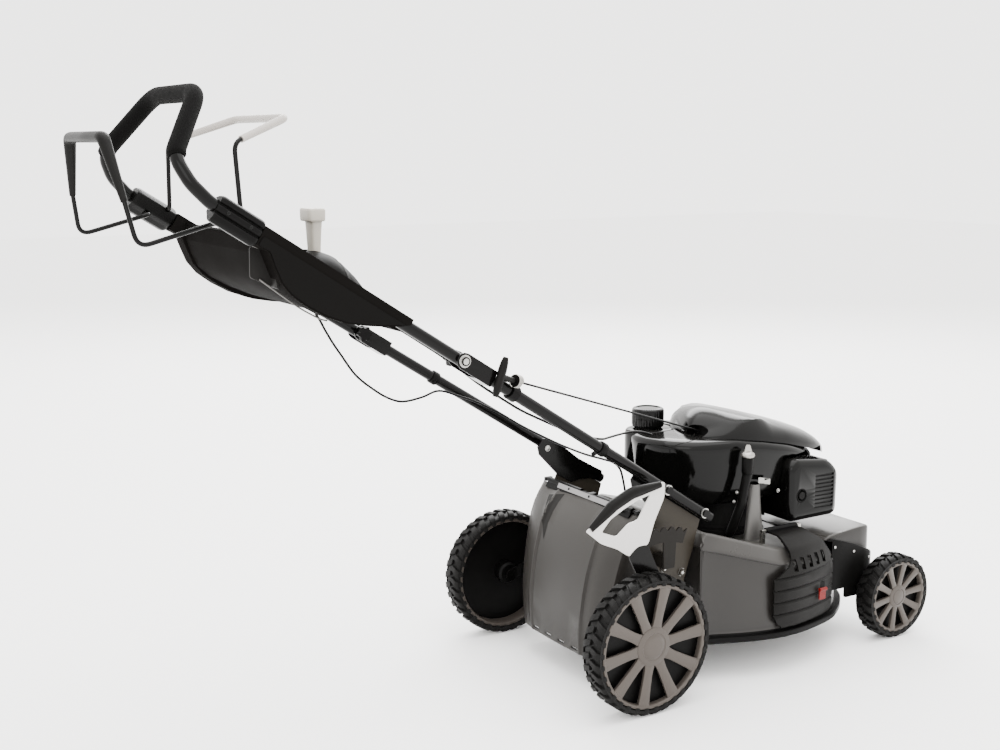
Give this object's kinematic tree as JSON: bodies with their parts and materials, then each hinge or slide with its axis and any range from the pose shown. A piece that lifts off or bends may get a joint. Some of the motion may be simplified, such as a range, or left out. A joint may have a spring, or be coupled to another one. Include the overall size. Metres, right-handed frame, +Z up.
{
  "type": "walk-behind lawn mower",
  "caption": "Petrol rotary lawn mower on wheels with a folding loop handle, a drive bail, a brake bail, a height lever, a rear door and a side discharge cover.",
  "frame": {"origin": "middle of the base of the bounding box, on the ground", "axes": "+Z up, +Y the way the mower cuts, +X its right-hand side; the handle points to -Y"},
  "size_m": [0.59, 1.8034, 1.203],
  "materials": {
    "deck_paint": "satin grey-brown paint",
    "plate_paint": "satin brown paint",
    "black_paint": "gloss black paint",
    "black_plastic": "fine texture, satin",
    "engine_black": "gloss black moulding",
    "bare_steel": "zinc plated",
    "cast_alloy": "as cast",
    "tyre_rubber": "moulded tread",
    "hub_plastic": "metallic grey-brown",
    "foam": "closed-cell foam",
    "white_grip": "off-white",
    "cream_knob": "cream",
    "red_plastic": "red",
    "cable_sleeve": "black sleeve"
  },
  "bodies": {
    "mower": {"deck_shell": "deck_paint", "front_cover": "deck_paint", "chute_cover": "black_plastic", "lever_quadrant": "black_paint", "side_plate_right": "plate_paint", "side_plate_left": "plate_paint", "handle_bracket_right": "black_paint", "handle_bracket_left": "black_paint", "lower_tube_right": "black_paint", "lower_tube_left": "black_paint", "fold_clevis_right": "black_paint", "fold_clevis_left": "black_paint", "rope_guide": "black_plastic", "rope_sheath": "cable_sleeve", "crankcase": "cast_alloy", "cylinder": "cast_alloy", "engine_shroud": "engine_black", "top_cover": "engine_black", "fuel_tank": "engine_black", "oil_filler_tube": "black_plastic", "muffler": "bare_steel", "muffler_cover": "engine_black", "air_cleaner": "black_plastic", "gearbox": "cast_alloy", "drive_belt": "cable_sleeve", "brake_cable": "cable_sleeve", "drive_cable": "cable_sleeve"},
    "height_axle": {"rear_axle": "black_paint", "height_lever": "bare_steel", "height_lever_grip": "black_plastic"},
    "front_axle_assembly": {"front_axle": "black_paint"},
    "rear_right_wheel": {"rear_right_tyre": "tyre_rubber", "rear_right_rim": "hub_plastic"},
    "rear_left_wheel": {"rear_left_tyre": "tyre_rubber", "rear_left_rim": "hub_plastic"},
    "front_right_wheel": {"front_right_tyre": "tyre_rubber", "front_right_rim": "hub_plastic"},
    "front_left_wheel": {"front_left_tyre": "tyre_rubber", "front_left_rim": "hub_plastic"},
    "crank": {"crankshaft": "bare_steel", "flywheel": "cast_alloy", "blade": "black_paint"},
    "rear_flap": {"rear_door": "deck_paint"},
    "side_flap": {"side_cover": "black_plastic"},
    "side_catch": {"side_latch": "red_plastic"},
    "tank_cap": {"fuel_cap": "engine_black"},
    "oil_cap": {"oil_dipstick": "cast_alloy"},
    "upper_handle": {"upper_tube": "black_paint", "foam_grip": "foam", "console": "black_plastic", "console_cover": "black_plastic", "bail_block_right": "black_plastic", "bail_block_left": "black_plastic"},
    "drive_control": {"drive_bail": "black_paint", "drive_bail_grip": "black_plastic"},
    "brake_control": {"brake_bail": "black_paint", "brake_bail_grip": "white_grip"},
    "speed_control": {"speed_lever": "cream_knob"},
    "starter_pull": {"starter_handle": "black_plastic", "starter_rope": "cable_sleeve"}
  },
  "joints": [
    {"name": "height_adjust", "type": "hinge", "parent": "mower", "child": "height_axle", "pos_m": [0, 0.14927, 0.165], "axis": [1, 0, 0], "range_deg": [-30, 0]},
    {"name": "front_axle_lift", "type": "hinge", "parent": "mower", "child": "front_axle_assembly", "pos_m": [0, 0.73127, 0.12], "axis": [1, 0, 0], "range_deg": [0, 30]},
    {"name": "rear_right_spin", "type": "hinge", "parent": "height_axle", "child": "rear_right_wheel", "pos_m": [0.295, 0.07427, 0.14], "axis": [1, 0, 0], "continuous": true},
    {"name": "rear_left_spin", "type": "hinge", "parent": "height_axle", "child": "rear_left_wheel", "pos_m": [-0.295, 0.07427, 0.14], "axis": [1, 0, 0], "continuous": true},
    {"name": "front_right_spin", "type": "hinge", "parent": "front_axle_assembly", "child": "front_right_wheel", "pos_m": [0.255, 0.80627, 0.0954], "axis": [1, 0, 0], "continuous": true},
    {"name": "front_left_spin", "type": "hinge", "parent": "front_axle_assembly", "child": "front_left_wheel", "pos_m": [-0.255, 0.80627, 0.0954], "axis": [1, 0, 0], "continuous": true},
    {"name": "crank_spin", "type": "hinge", "parent": "mower", "child": "crank", "pos_m": [0, 0.47927, 0.3], "axis": [0, 0, 1], "continuous": true},
    {"name": "rear_door_hinge", "type": "hinge", "parent": "mower", "child": "rear_flap", "pos_m": [0, 0.12427, 0.372], "axis": [1, 0, 0], "range_deg": [-70, 0], "stiffness_Nm_per_rad": 1, "springref_deg": 11.46},
    {"name": "side_cover_hinge", "type": "hinge", "parent": "mower", "child": "side_flap", "pos_m": [0.174, 0.51027, 0.284], "axis": [0, 1, 0], "range_deg": [-80, 0], "stiffness_Nm_per_rad": 0.5, "springref_deg": 11.46},
    {"name": "side_latch_hinge", "type": "hinge", "parent": "side_flap", "child": "side_catch", "pos_m": [0.2624, 0.55527, 0.162], "axis": [0, 1, 0], "range_deg": [-20, 0], "stiffness_Nm_per_rad": 0.1, "springref_deg": 11.46},
    {"name": "fuel_cap_turn", "type": "hinge", "parent": "mower", "child": "tank_cap", "pos_m": [-0.076, 0.33627, 0.5], "axis": [0, 0, 1], "range_deg": [0, 90]},
    {"name": "oil_cap_turn", "type": "hinge", "parent": "mower", "child": "oil_cap", "pos_m": [0.15, 0.43027, 0.453], "axis": [0, 0, 1], "range_deg": [0, 90]},
    {"name": "handle_fold", "type": "hinge", "parent": "mower", "child": "upper_handle", "pos_m": [0, -0.31073, 0.728], "axis": [1, 0, 0], "range_deg": [-130, 0], "deforming": ["brake_cable", "drive_cable"]},
    {"name": "drive_bail_pull", "type": "hinge", "parent": "upper_handle", "child": "drive_control", "pos_m": [0, -0.73973, 0.981], "axis": [1, 0, 0], "range_deg": [-38, 0], "stiffness_Nm_per_rad": 2, "springref_deg": 11.46},
    {"name": "brake_bail_pull", "type": "hinge", "parent": "upper_handle", "child": "brake_control", "pos_m": [0, -0.69973, 0.987], "axis": [1, 0, 0], "range_deg": [0, 36], "stiffness_Nm_per_rad": 2, "springref_deg": -11.46},
    {"name": "speed_lever_tilt", "type": "hinge", "parent": "upper_handle", "child": "speed_control", "pos_m": [0, -0.50073, 0.872], "axis": [1, 0, 0], "range_deg": [-18, 18]},
    {"name": "starter_pull_out", "type": "slide", "parent": "mower", "child": "starter_pull", "axis": [0.2767, -0.9131, 0.2994], "range_m": [0, 0.5], "stiffness_N_per_m": 20, "springref_m": -0.3}
  ],
  "couplings": [
    {"joint": "front_axle_lift", "follows": "height_adjust", "ratio": -1}
  ]
}
